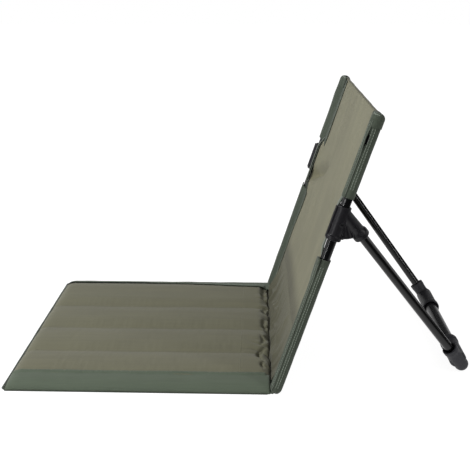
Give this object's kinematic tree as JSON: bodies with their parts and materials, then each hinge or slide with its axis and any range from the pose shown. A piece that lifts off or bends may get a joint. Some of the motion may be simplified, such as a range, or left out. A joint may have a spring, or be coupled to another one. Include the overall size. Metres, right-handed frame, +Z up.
{
  "type": "folding ground chair",
  "caption": "Low folding ground chair: a quilted mat seat with dark side borders, and a cloth back on poles propped from behind by a tubular stand with moulded hubs and feet.",
  "frame": {"origin": "on the ground, in the middle of the chair's box", "axes": "+Z up, the sitter faces -Y, the sitter's left is +X"},
  "size_m": [0.4216, 0.67, 0.393],
  "materials": {
    "seat_cloth": "matte khaki polyester",
    "trim_cloth": "matte dark grey-green polyester",
    "back_cloth": "matte light khaki polyester",
    "sleeve_cloth": "matte grey-green polyester",
    "foam": "open foam",
    "pole_paint": "gloss black coating",
    "bar_paint": "satin dark grey coating",
    "hub_plastic": "matte charcoal moulding",
    "foot_plastic": "rough matte charcoal moulding",
    "cap_plastic": "matte black moulding",
    "rivet_steel": "blackened steel"
  },
  "bodies": {
    "seat": {"front_binding": "trim_cloth", "hinge_flap": "trim_cloth", "left_seat_border": "trim_cloth", "right_seat_border": "trim_cloth", "seat_base_cloth": "trim_cloth", "seat_cover": "seat_cloth", "seat_foam_1": "foam", "seat_foam_2": "foam", "seat_foam_3": "foam", "seat_foam_4": "foam"},
    "left_foot": {"left_foot": "foot_plastic"},
    "right_foot": {"right_foot": "foot_plastic"},
    "crossbar": {"crossbar": "bar_paint"},
    "backrest": {"back_hem": "back_cloth", "back_panel": "back_cloth", "hub_rivets": "rivet_steel", "left_bottom_cap": "cap_plastic", "left_hub": "hub_plastic", "left_leg": "pole_paint", "left_lower_sleeve": "sleeve_cloth", "left_pole": "pole_paint", "left_top_cap": "cap_plastic", "left_top_pocket": "sleeve_cloth", "left_upper_sleeve": "sleeve_cloth", "right_bottom_cap": "cap_plastic", "right_hub": "hub_plastic", "right_leg": "pole_paint", "right_lower_sleeve": "sleeve_cloth", "right_pole": "pole_paint", "right_top_cap": "cap_plastic", "right_top_pocket": "sleeve_cloth", "right_upper_sleeve": "sleeve_cloth", "top_hem": "back_cloth"}
  },
  "joints": [
    {"name": "back_fold", "type": "hinge", "parent": "seat", "child": "backrest", "pos_m": [0, 0.05726, 0.026], "axis": [1, 0, 0], "range_deg": [0, 105]},
    {"name": "left_foot_pull", "type": "slide", "parent": "backrest", "child": "left_foot", "axis": [-0.2406, 0.5851, -0.7744], "range_m": [0, 0.03]},
    {"name": "right_foot_pull", "type": "slide", "parent": "backrest", "child": "right_foot", "axis": [0.2406, 0.5851, -0.7744], "range_m": [0, 0.03]},
    {"name": "crossbar_slip", "type": "slide", "parent": "left_foot", "child": "crossbar", "axis": [1, 0, 0], "range_m": [0, 0.0073]}
  ],
  "couplings": [
    {"joint": "right_foot_pull", "follows": "left_foot_pull", "ratio": 1},
    {"joint": "crossbar_slip", "follows": "left_foot_pull", "ratio": 0.24064}
  ]
}
